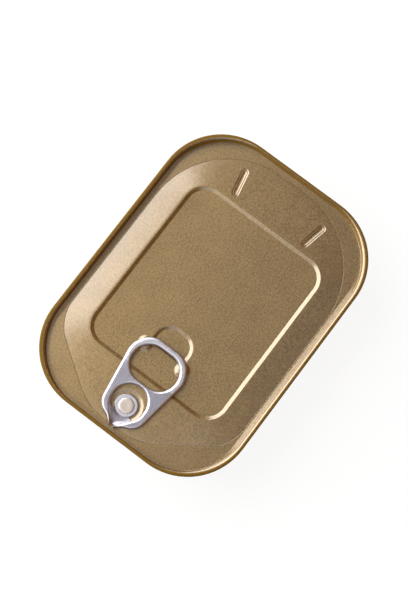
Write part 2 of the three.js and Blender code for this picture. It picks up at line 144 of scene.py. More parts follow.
@dataclass(frozen=True)
class Outline:
    """A closed polygon with rounded corners, listed anticlockwise."""

    corners: tuple[Corner, ...]

    @classmethod
    def rectangle(
        cls, low: tuple[float, float], high: tuple[float, float], radius: float, segments: int
    ) -> "Outline":
        """Make a rectangle with one radius.

        Args:
            low: least x and y.
            high: greatest x and y.
            radius: radius of each corner.
            segments: steps on each corner.

        Returns:
            The outline.
        """
        places = ((high[0], high[1]), (low[0], high[1]), (low[0], low[1]), (high[0], low[1]))
        return cls(tuple(Corner(x, y, radius, segments) for x, y in places))

    @classmethod
    def mirrored(cls, half: Sequence[Corner]) -> "Outline":
        """Complete a half outline on the +Y side with its mirror image on the -Y side."""
        other = tuple(replace(corner, y=-corner.y) for corner in reversed(half))
        return cls(tuple(half) + other)

    def sides(self) -> list[tuple[Vector, Vector]]:
        """Give the unit directions of the sides before and after each corner.

        Returns:
            A pair of directions for each corner.
        """
        places = [Vector((corner.x, corner.y)) for corner in self.corners]
        leaving = [
            (after - here).normalized() for here, after in zip(places, places[1:] + places[:1])
        ]
        return list(zip(leaving[-1:] + leaving[:-1], leaving))

    def offset(self, distance: float) -> "Outline":
        """Move every side of a convex outline outward; a negative distance moves it inward.

        Args:
            distance: how far the sides move.

        Returns:
            The moved outline, with its radii changed to match.
        """
        moved = []
        for corner, (arriving, leaving) in zip(self.corners, self.sides()):
            normals = Vector((arriving.y + leaving.y, -arriving.x - leaving.x))
            shift = normals * distance / (1 + arriving.dot(leaving))
            moved.append(
                Corner(
                    corner.x + shift.x, corner.y + shift.y, corner.radius + distance, corner.segments
                )
            )
        return Outline(tuple(moved))

    def draw(self, bm: BMesh, z: float, cuts: Callable[[float], int] | None = None) -> list[BMEdge]:
        """Draw the outline as a closed wire.

        Args:
            bm: the mesh to draw in.
            z: height of the wire.
            cuts: how many cuts a straight side of a given length gets, if any.

        Returns:
            The wire's edges.
        """
        known = set(bm.edges)
        verts = [bm.verts.new((corner.x, corner.y, z)) for corner in self.corners]
        for here, after in zip(verts, verts[1:] + verts[:1]):
            bm.edges.new((here, after))
        for vert, corner, (arriving, leaving) in zip(verts, self.corners, self.sides()):
            reach = corner.radius * math.tan(arriving.angle(leaving) / 2)
            bmesh.ops.bevel(
                bm,
                geom=[vert],
                offset=reach,
                offset_type="OFFSET",
                affect="VERTICES",
                segments=corner.segments,
                profile=0.5,
                material=-1,
            )
        drawn = [edge for edge in bm.edges if edge not in known]
        if cuts is not None:
            for edge in drawn:
                count = cuts(edge.calc_length())
                if count > 0:
                    bmesh.ops.subdivide_edges(bm, edges=[edge], cuts=count)
            drawn = [edge for edge in bm.edges if edge not in known]
        return drawn


@dataclass(frozen=True)
class PressedWall:
    """Section of a pressed step: a straight slope between two equal fillets."""

    depth: float
    slope: float
    radius: float

    @property
    def angle(self) -> float:
        """Slope in radians."""
        return math.radians(self.slope)

    @property
    def fillet_run(self) -> float:
        """Length of one fillet in plan."""
        return self.radius * math.sin(self.angle)

    @property
    def run(self) -> float:
        """Length of the whole wall in plan."""
        fillet_drop = self.radius * (1 - math.cos(self.angle))
        return 2 * self.fillet_run + (self.depth - 2 * fillet_drop) / math.tan(self.angle)

    def drop(self, distance: float) -> float:
        """Find how far the wall has gone down.

        Args:
            distance: distance in plan from the wall's upper edge.

        Returns:
            Depth below the upper edge.
        """
        if distance <= 0:
            return 0.0
        if distance >= self.run:
            return self.depth
        if distance > self.run / 2:
            return self.depth - self.drop(self.run - distance)
        fillet = min(distance, self.fillet_run)
        curved = self.radius - math.sqrt(self.radius**2 - fillet**2)
        return curved + (distance - fillet) * math.tan(self.angle)

    def stops(self, steps: int) -> list[float]:
        """List distances in plan at which a mesh follows the wall.

        Args:
            steps: steps on each fillet.

        Returns:
            Rising distances from 0 to the wall's run.
        """
        upper = [self.radius * math.sin(self.angle * step / steps) for step in range(steps + 1)]
        return upper + [self.run - distance for distance in reversed(upper)]

    def press(self, bm: BMesh, face: BMFace, steps: int) -> None:
        """Press a flat face in, against its normal, by insets that follow the wall.

        Args:
            bm: the mesh that holds the face.
            face: the face at the wall's upper edge, which ends as the floor.
            steps: steps on each fillet.
        """
        stops = self.stops(steps)
        for near, far in zip(stops, stops[1:]):
            bmesh.ops.inset_region(
                bm,
                faces=[face],
                thickness=far - near,
                depth=self.drop(near) - self.drop(far),
                use_even_offset=True,
                use_boundary=True,
            )


def loft(bm: BMesh, wires: Sequence[list[BMEdge]]) -> None:
    """Join each wire to the next with a band of faces.

    The next wire is held clear above while it is joined, because wires in one plane can be paired crosswise.

    Args:
        bm: the mesh that holds the wires.
        wires: closed wires in order.
    """
    for lower, upper in zip(wires, wires[1:]):
        verts = list({vert for edge in upper for vert in edge.verts})
        bmesh.ops.translate(bm, verts=verts, vec=LOFT_CLEARANCE)
        bmesh.ops.bridge_loops(bm, edges=lower + upper)
        bmesh.ops.translate(bm, verts=verts, vec=-LOFT_CLEARANCE)


def arc(centre: Sequence[float], radius: float, start: float, end: float, steps: int) -> list[Vector]:
    """List points on an arc of a section.

    Args:
        centre: centre as inset and height.
        radius: radius of the arc.
        start: first angle in degrees, from the inward direction towards up.
        end: last angle in degrees.
        steps: steps between them.

    Returns:
        Points as inset and height.
    """
    angles = (math.radians(start + (end - start) * step / steps) for step in range(steps + 1))
    return [Vector(centre) + radius * Vector((math.cos(angle), math.sin(angle))) for angle in angles]


def eased(value: float, start: float, end: float) -> float:
    """Rise smoothly from 0 at start to 1 at end."""
    share = max(0.0, min(1.0, (value - start) / (end - start)))
    return share * share * (3 - 2 * share)


def face_up(bm: BMesh) -> float:
    """Sum how far the faces look up, as a signed area in plan."""
    bm.normal_update()
    return sum(face.normal.z * face.calc_area() for face in bm.faces)


# Finishes


def linear(hex_colour: str) -> tuple[float, float, float, float]:
    """Turn an sRGB hex colour into linear light.

    Args:
        hex_colour: six hex digits after a hash sign.

    Returns:
        Linear red, green, blue and an alpha of 1.
    """
    channels = (int(hex_colour[place : place + 2], 16) / 255 for place in (1, 3, 5))
    red, green, blue = (
        channel / 12.92 if channel <= 0.04045 else ((channel + 0.055) / 1.055) ** 2.4
        for channel in channels
    )
    return red, green, blue, 1.0


def add_node(
    tree: bpy.types.NodeTree, kind: str, inputs: dict[str | int, object] | None = None, **settings: object
) -> bpy.types.Node:
    """Add a node to a tree.

    Args:
        tree: the node tree.
        kind: the node's type name.
        inputs: values for its input sockets, or the output sockets to link to them.
        **settings: its properties.

    Returns:
        The node.
    """
    made = tree.nodes.new(kind)
    for name, value in settings.items():
        setattr(made, name, value)
    for socket, value in (inputs or {}).items():
        if isinstance(value, bpy.types.NodeSocket):
            tree.links.new(value, made.inputs[socket])
        else:
            made.inputs[socket].default_value = value
    return made


def per_metre(size: float) -> float:
    """Turn a pattern size in millimetres into a texture scale on coordinates in metres."""
    return 1 / (size * MM)


@dataclass(frozen=True)
class RolledMetal:
    """Sheet metal with a fine satin grain, bare or under a tinted lacquer.

    The grain is drawn coarser than the real one, which is too fine to show: it gives the surface its slight
    sparkle. Broader clouds stand for uneven lacquer. A lower metallic share gives a more even, less
    mirror-like look.
    """

    name: str
    colour: str
    deep_colour: str
    roughness: float
    roughness_spread: float
    grain: float
    grain_height: float
    cloud: float
    coat: float
    cloud_share: float = 0.15
    coat_roughness: float = 0.18
    coat_index: float = 1.95
    edge_tint: str = WHITE
    stretch: tuple[float, float, float] = (1.0, 1.0, 1.0)
    metallic: float = 1.0
    tone_range: tuple[float, float] = (0.36, 0.64)
    grain_range: tuple[float, float] = (0.3, 0.7)
    grain_detail: float = 3.0
    grain_fineness: float = 0.6
    cloud_detail: float = 2.0

    def material(self) -> bpy.types.Material:
        """Build the procedural material.

        Returns:
            The material.
        """
        made = bpy.data.materials.new(self.name)
        made.use_nodes = True
        tree = made.node_tree
        shader = tree.nodes["Principled BSDF"]
        place = add_node(tree, "ShaderNodeTexCoord").outputs["Object"]
        stretched = add_node(tree, "ShaderNodeMapping", {"Vector": place, "Scale": self.stretch}).outputs[0]
        grain = add_node(
            tree,
            "ShaderNodeTexNoise",
            {
                "Vector": stretched,
                "Scale": per_metre(self.grain),
                "Detail": self.grain_detail,
                "Roughness": self.grain_fineness,
            },
        ).outputs["Fac"]
        cloud = add_node(
            tree,
            "ShaderNodeTexNoise",
            {"Vector": place, "Scale": per_metre(self.cloud), "Detail": self.cloud_detail},
        ).outputs["Fac"]
        tone = add_node(
            tree, "ShaderNodeMix", {"Factor": self.cloud_share, "A": grain, "B": cloud}, data_type="FLOAT"
        ).outputs["Result"]
        ramp = add_node(tree, "ShaderNodeValToRGB", {"Fac": tone})
        shades = (self.deep_colour, self.colour)
        for stop, position, shade in zip(ramp.color_ramp.elements, self.tone_range, shades):
            stop.position = position
            stop.color = linear(shade)
        tree.links.new(ramp.outputs["Color"], shader.inputs["Base Color"])
        rough = add_node(
            tree,
            "ShaderNodeMapRange",
            {
                "Value": grain,
                "From Min": self.grain_range[0],
                "From Max": self.grain_range[1],
                "To Min": self.roughness - self.roughness_spread,
                "To Max": self.roughness + self.roughness_spread,
            },
        )
        tree.links.new(rough.outputs["Result"], shader.inputs["Roughness"])
        bump = add_node(
            tree,
            "ShaderNodeBump",
            {"Height": grain, "Strength": 1.0, "Distance": self.grain_height * MM},
        )
        tree.links.new(bump.outputs["Normal"], shader.inputs["Normal"])
        shader.inputs["Metallic"].default_value = self.metallic
        shader.inputs["Specular Tint"].default_value = linear(self.edge_tint)
        shader.inputs["Coat Weight"].default_value = self.coat
        shader.inputs["Coat Roughness"].default_value = self.coat_roughness
        shader.inputs["Coat IOR"].default_value = self.coat_index
        return made


@dataclass(frozen=True)
class CuredCompound:
    """Water-based sealing compound, cured to a matt rubber with fine pores."""

    name: str = "cured_sealing_compound"
    colour: str = "#5e5348"
    pore_colour: str = "#443b33"
    pore: float = 0.3
    roughness: float = 0.85

    def material(self) -> bpy.types.Material:
        """Build the procedural material.

        Returns:
            The material.
        """
        made = bpy.data.materials.new(self.name)
        made.use_nodes = True
        tree = made.node_tree
        shader = tree.nodes["Principled BSDF"]
        place = add_node(tree, "ShaderNodeTexCoord").outputs["Object"]
        pores = add_node(tree, "ShaderNodeTexNoise", {"Vector": place, "Scale": per_metre(self.pore)})
        ramp = add_node(tree, "ShaderNodeValToRGB", {"Fac": pores.outputs["Fac"]})
        ramp.color_ramp.elements[0].color = linear(self.pore_colour)
        ramp.color_ramp.elements[1].color = linear(self.colour)
        tree.links.new(ramp.outputs["Color"], shader.inputs["Base Color"])
        shader.inputs["Roughness"].default_value = self.roughness
        return made


# Gold lacquer over satin aluminium: warm grey gold on the flat, nearly white where it meets the light
END_LACQUER = RolledMetal(
    name="gold_lacquered_aluminium_end",
    colour="#886f42",
    deep_colour="#69522b",
    roughness=0.48,
    roughness_spread=0.05,
    grain=0.65,
    grain_height=0.011,
    cloud=9.0,
    coat=1.0,
)

# The seam's outer roll gets a darker, less metallic gold, which looks a deep even gold from every side: the
# darker colour is painted shade, for the dark surroundings that the roll reflects
SEAM_PAINTED_SHADE = RolledMetal(
    name="seam_gold_painted_shade",
    colour="#6c501d",
    deep_colour="#5f4514",
    roughness=0.6,
    roughness_spread=0.04,
    grain=0.5,
    grain_height=0.006,
    cloud=7.0,
    coat=0.0,
    edge_tint="#9a8050",
    metallic=0.2,
)

# On the chuck wall inside the seam a lighter, warmer copy of that gold is painted light, which brightens the
# wall
CHUCK_PAINTED_LIGHT = replace(
    SEAM_PAINTED_SHADE,
    name="chuck_wall_gold_painted_light",
    colour="#8e6a26",
    deep_colour="#80601f",
)

# Drawing the body stretches its lacquer upward into faint lines
BODY_LACQUER = RolledMetal(
    name="gold_lacquered_drawn_aluminium",
    colour="#a98c58",
    deep_colour="#957741",
    roughness=0.36,
    roughness_spread=0.05,
    grain=0.5,
    grain_height=0.004,
    cloud=14.0,
    coat=1.0,
    stretch=(1.0, 1.0, 0.12),
)

# Bare aluminium strip: cool even grey
BARE_ALUMINIUM = RolledMetal(
    name="bare_rolled_aluminium_tab",
    colour="#9a97a0",
    deep_colour="#8d8a93",
    roughness=0.34,
    roughness_spread=0.02,
    grain=0.45,
    grain_height=0.0004,
    cloud=6.0,
    coat=0.0,
    stretch=(0.25, 1.0, 1.0),
)

# The ring, the curls and the island get a paler, smoother copy of the strip's grey: painted highlight where
# their rounded shapes catch the light
PAINTED_HIGHLIGHT_ALUMINIUM = replace(
    BARE_ALUMINIUM,
    name="aluminium_curls_painted_highlight",
    colour="#c6c3cb",
    deep_colour="#b9b6be",
    roughness=0.3,
)

# The rivet is drawn from the end's own sheet, which stretches the lacquer thin and pale
STRETCHED_LACQUER = RolledMetal(
    name="stretched_pale_lacquer_rivet",
    colour="#c5b8ad",
    deep_colour="#b6a89c",
    roughness=0.34,
    roughness_spread=0.04,
    grain=0.4,
    grain_height=0.003,
    cloud=3.0,
    coat=1.0,
)


# Making pieces


def make_piece(
    name: str,
    bm: BMesh,
    body: Body | None,
    materials: Sequence[bpy.types.Material],
    node: str,
) -> bpy.types.Object:
    """Turn a modelled mesh into a piece that stands for a CAD node.

    Args:
        name: the piece's name.
        bm: the mesh in millimetres, which is used up.
        body: the body that it rides on, or None to leave it on no body.
        materials: materials in the order of the faces' indices.
        node: the CAD node that it replaces.

    Returns:
        The finished object.
    """
    bmesh.ops.scale(bm, vec=(MM, MM, MM), verts=bm.verts)
    mesh = bpy.data.meshes.new(name)
    bm.to_mesh(mesh)
    bm.free()
    mesh.shade_smooth()
    mesh.set_sharp_from_angle(angle=SHARP_ANGLE)
    for material in materials:
        mesh.materials.append(material)
    piece = bpy.data.objects.new(name, mesh)
    bpy.context.scene.collection.objects.link(piece)
    if body is not None:
        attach(piece, body.value)
    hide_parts(node)
    LOG.info("%s: %d faces", name, len(mesh.polygons))
    return piece


@dataclass(frozen=True)
class EndPlan:
    """Outlines and levels of the can's end that its pieces share."""

    corner_radius: float = 22.2
    corner_steps: int = 18
    side_steps: int = 9
    shoulder_steps: int = 8
    sheet: float = 0.22
    body_sheet: float = 0.22
    wall_inset: float = 0.81
    score_side_margin: float = 3.5
    score_far_radius: float = 30.0
    shoulder_half_width: float = 10.0
    shoulder_length: float = 17.2
    shoulder_end_radius: float = 20.0
    shoulder_side_radius: float = 13.0
    crown_rise: float = 0.55
    crown_side: float = 8.2
    crown_tab_end: float = 18.3
    crown_far_end: float = 16.9
    recess_radius: float = 7.5
    score_half_gap: float = 0.012
    rivet_setback: float = 7.7

    @cached_property
    def high(self) -> Vector:
        """Highest corner of the end."""
        return node_box("lid_ring")[1]

    @cached_property
    def margin_top(self) -> float:
        """Height of the flat margin, where the panel's hinge lies."""
        return joint_place("panel_peel").z

    @cached_property
    def crown_top(self) -> float:
        """Height of the crown at the edge of the recess."""
        return self.margin_top + self.crown_rise

    @cached_property
    def score_ends(self) -> tuple[float, float]:
        """Places of the score line at the tab end and at the far end."""
        low, high = node_box("tear_panel")
        far = joint_place("panel_peel").x
        return low.x - (far - high.x), far

    @cached_property
    def score_half_width(self) -> float:
        """Half the panel's width across the score line."""
        return self.high.y - self.score_side_margin

    def inside(self, end_inset: float, side_inset: float, radius: float) -> Outline:
        """Make a rectangle inside the seam.

        Args:
            end_inset: distance from the seam's outer face at the ends.
            side_inset: distance from it at the sides.
            radius: radius of each corner.

        Returns:
            The outline.
        """
        x = self.high.x - end_inset
        y = self.high.y - side_inset
        return Outline.rectangle((-x, -y), (x, y), radius, self.corner_steps)

    @cached_property
    def seam(self) -> Outline:
        """Outer face of the seam."""
        return self.inside(0, 0, self.corner_radius)

    @cached_property
    def score(self) -> Outline:
        """Middle of the score line."""
        near, far = self.score_ends
        half = self.score_half_width
        return Outline.mirrored(
            (
                Corner(far, half, self.score_far_radius, self.corner_steps),
                Corner(near + self.shoulder_length, half, self.shoulder_side_radius, self.side_steps),
                Corner(near, self.shoulder_half_width, self.shoulder_end_radius, self.shoulder_steps),
            )
        )

    @cached_property
    def recess(self) -> Outline:
        """Upper edge of the sunk middle."""
        near, far = self.score_ends
        half = self.score_half_width - self.crown_side
        return Outline.rectangle(
            (near + self.crown_tab_end, -half),
            (far - self.crown_far_end, half),
            self.recess_radius,
            self.corner_steps,
        )

    @cached_property
    def tab_pitch(self) -> float:
        """Slope of the crown under the tab, in radians."""
        return math.atan2(self.crown_rise, self.crown_tab_end)

    @cached_property
    def tab_frame(self) -> Matrix:
        """Frame of the tab: its origin is on the score line and its z = 0 plane lies on the crown."""
        origin = Vector((self.score_ends[0], 0, self.margin_top))
        return Matrix.Translation(origin) @ Matrix.Rotation(-self.tab_pitch, 4, "Y")


@dataclass
class CanBody:
    """Drawn cup below the seam."""

    plan: EndPlan
    wall_top: float = 20.55
    draft: float = 0.8
    foot_radius: float = 2.2
    stand_width: float = 3.4
    recess: PressedWall = PressedWall(depth=0.6, slope=24, radius=1.2)
    hook_bottom: float = 18.6
    hook_draft: float = 0.02
    curve_steps: int = 8

    def build(self) -> BMesh:
        """Model the cup as a sheet from its base to the inside of the seam.

        Returns:
            The mesh.
        """
        bm = bmesh.new()
        wall = self.plan.wall_inset
        foot = wall + self.draft
        curve = arc(
            (foot + self.foot_radius, self.foot_radius), self.foot_radius, 180, 270, self.curve_steps
        )
        section = [
            Vector((wall, self.wall_top)),
            Vector((wall + self.hook_draft, self.hook_bottom)),
            *curve,
        ]
        section.append(section[-1] + Vector((self.stand_width, 0)))
        wires = [self.plan.seam.offset(-inset).draw(bm, z) for inset, z in section]
        loft(bm, wires)
        base = bmesh.ops.contextual_create(bm, geom=wires[-1])["faces"][0]
        bmesh.ops.recalc_face_normals(bm, faces=bm.faces)
        self.recess.press(bm, base, self.curve_steps // 2)
        bmesh.ops.solidify(bm, geom=bm.faces[:], thickness=self.plan.body_sheet)
        return bm

    def dress(self) -> bpy.types.Object:
        """Finish the cup in drawn gold lacquer."""
        return make_piece(
            "can_body_drawn", self.build(), Body.CAN, [BODY_LACQUER.material()], "can_body"
        )


@dataclass
class LidRing:
    """Fixed ring of the end: rolled seam, chuck wall and the margin outside the score.

    The chuck wall stands further in at the sides and corners than at the ends, and its foot slopes up along
    the straight sides only.
    """

    plan: EndPlan
    seam_bottom: float = 19.2
    outer_roll: float = 0.48
    crest: float = 0.75
    inner_roll: float = 0.6
    painted_shade_overlap: float = 0.18
    hem_radius: float = 0.36
    hem_chamfer: tuple[float, float] = (0.1, 0.15)
    slot_clearance: float = 0.04
    slot_top: float = 20.7
    chuck_lean: float = 4.0
    foot_inset: float = 1.43
    foot_end_inset: float = 1.25
    foot_side_inset: float = 1.72
    foot_rise: float = 0.28
    foot_span: tuple[float, float] = (30.0, 40.0)
    foot_radius: float = 0.1
    corner_flare: float = 0.55
    wall_levels: tuple[float, float] = (19.7, 21.2)
    margin_end_inset: float = 2.78
    margin_side_inset: float = 3.1
    settle: float = 0.04
    groove_half_width: float = 0.12
    groove_depth: float = 0.03
    curve_steps: int = 7

    def margin(self) -> Outline:
        """Line where the sloping foot of the chuck wall meets the flat margin."""
        radius = self.plan.corner_radius - self.margin_side_inset
        return self.plan.inside(self.margin_end_inset, self.margin_side_inset, radius)

    def inner(self, inset: float) -> Outline:
        """Find an outline of the seam's inside.

        Args:
            inset: inset of a point of the section.

        Returns:
            The outline that the point follows round the can.
        """
        share = (inset - self.crest) / (self.foot_inset - self.crest)
        end_inset = self.crest + share * (self.foot_end_inset - self.crest)
        side_inset = self.crest + share * (self.foot_side_inset - self.crest)
        radius = self.plan.corner_radius - self.crest + share * self.corner_flare
        return self.plan.inside(end_inset, side_inset, radius)

    def draw_foot(self, bm: BMesh, inset: float, z: float) -> list[BMEdge]:
        """Draw a wire of the foot, let down to the margin beyond the straight sides.

        Args:
            bm: the mesh to draw in.
            inset: inset of a point of the section.
            z: height of that point along the straight sides.

        Returns:
            The wire's edges.
        """
        wire = self.inner(inset).draw(bm, z)
        for vert in {vert for edge in wire for vert in edge.verts}:
            vert.co.z -= self.foot_rise * eased(abs(vert.co.x), *self.foot_span)
        return wire

    def section(self) -> tuple[list[Vector], list[Vector], list[Vector], list[Vector]]:
        """List the seam's section as inset and height.

        Returns:
            Points under the chuck wall's foot, round the outside, down from the crest, and round the foot.
        """
        plan = self.plan
        top = plan.high.z
        wall_inner = plan.wall_inset + plan.body_sheet + self.slot_clearance
        wall_outer = plan.wall_inset - self.slot_clearance
        chamfer_width, chamfer_height = self.hem_chamfer
        corner = Vector((self.foot_inset, plan.margin_top + self.foot_rise))
        outer = arc((self.outer_roll, top - self.outer_roll), self.outer_roll, 180, 90, self.curve_steps)
        inner = arc(
            (self.crest, top - self.inner_roll), self.inner_roll, 90, self.chuck_lean, self.curve_steps
        )
        upward = (inner[-1] - corner).normalized()
        inward = (Vector((self.margin_side_inset, plan.margin_top)) - corner).normalized()
        # The foot's fillet touches the chuck wall and the slope towards the margin
        half_turn = upward.angle(inward) / 2
        centre = corner + (upward + inward).normalized() * self.foot_radius / math.sin(half_turn)
        start = 180 + math.degrees(math.atan2(-upward.x, upward.y))
        end = 270 + math.degrees(math.atan2(inward.y, inward.x))
        foot = arc(centre, self.foot_radius, start, end, self.curve_steps)
        under = arc(centre, self.foot_radius + plan.sheet, end, start, self.curve_steps)
        hem_centre = (self.hem_radius, self.seam_bottom + self.hem_radius)
        outside = [
            Vector((wall_inner, self.slot_top)),
            Vector((wall_outer, self.slot_top)),
            Vector((wall_outer, self.seam_bottom + chamfer_height)),
            Vector((wall_outer - chamfer_width, self.seam_bottom)),
            *arc(hem_centre, self.hem_radius, 270, 180, self.curve_steps),
            *outer,
        ]
        return under, outside, inner, foot

    def inset(self, place: Vector) -> float:
        """Distance of a place inward from the seam's outer face.

        Args:
            place: a place on the ring.

        Returns:
            The distance, with the seam's corners taken as round.
        """
        plan = self.plan
        side = Vector((plan.high.x - abs(place.x), plan.high.y - abs(place.y)))
        turn = Vector((plan.corner_radius, plan.corner_radius)) - side
        return plan.corner_radius - turn.length if min(turn) > 0 else min(side)

    def finish_at(self, place: Vector) -> RingFinish:
        """Choose the finish at a place on the ring.

        Args:
            place: middle of a face.

        Returns:
            The finish of that face.
        """
        low, high = self.wall_levels
        # The seam's darker finish, which is painted shade, reaches a little past the crest; the chuck wall's
        # lighter finish, which is painted light, covers the wall between two levels
        if place.z > self.seam_bottom and self.inset(place) < self.crest + self.painted_shade_overlap:
            return RingFinish.OUTER_ROLL
        return RingFinish.CHUCK_WALL if low < place.z < high else RingFinish.MARGIN

    def build(self) -> BMesh:
        """Model the ring as a closed band whose inner edge follows the score.

        Returns:
            The mesh.
        """
        bm = bmesh.new()
        plan = self.plan
        flat = plan.margin_top
        margin = self.margin()
        groove = plan.score.offset(self.groove_half_width)
        lip = plan.score.offset(plan.score_half_gap)
        under, outside, inner, foot = self.section()
        # The wires run from the score under the ring, round the seam, and over the margin back to the score
        wires = [lip.draw(bm, flat - plan.sheet), margin.draw(bm, flat - plan.sheet)]
        wires += [self.draw_foot(bm, inset, z) for inset, z in under]
        wires += [plan.seam.offset(-inset).draw(bm, z) for inset, z in outside]
        wires += [self.inner(inset).draw(bm, z) for inset, z in inner]
        wires += [self.draw_foot(bm, inset, z) for inset, z in foot]
        rise = self.settle * self.foot_rise / (self.margin_side_inset - self.foot_inset)
        wires.append(margin.offset(self.settle).draw(bm, flat + rise))
        wires += [margin.draw(bm, flat), margin.offset(-self.settle).draw(bm, flat)]
        wires += [groove.offset(self.settle).draw(bm, flat), groove.draw(bm, flat)]
        wires.append(lip.draw(bm, flat - self.groove_depth))
        loft(bm, wires + wires[:1])
        bmesh.ops.recalc_face_normals(bm, faces=bm.faces)
        for face in bm.faces:
            face.material_index = self.finish_at(face.calc_center_median()).value
        return bm

    def dress(self) -> bpy.types.Object:
        """Finish the margin in satin gold lacquer, the seam's outer roll in a darker gold that is painted
        shade, and the chuck wall in a lighter gold that is painted light.
        """
        finishes = [finish.material() for finish in (END_LACQUER, SEAM_PAINTED_SHADE, CHUCK_PAINTED_LIGHT)]
        return make_piece("lid_ring_rolled", self.build(), Body.CAN, finishes, "lid_ring")


@dataclass(frozen=True)
class Bead:
    """A straight pressed groove with round ends."""

    start: Vector
    end: Vector
    half_width: float
    wall: PressedWall
    step: float

    def outside(self, place: Vector) -> float:
        """Distance in plan from the bead's edge, below zero inside the bead.

        Args:
            place: a place in plan.

        Returns:
            The distance.
        """
        along = self.end - self.start
        share = max(0.0, min(1.0, (place - self.start).dot(along) / along.length_squared))
        return (place - self.start - along * share).length - self.half_width

    def depth(self, place: Vector) -> float:
        """Depth of the groove at a place in plan: two walls with a narrow step between them."""
        inside = -self.outside(place)
        return self.wall.drop(inside) + self.wall.drop(inside - self.wall.run - self.step)


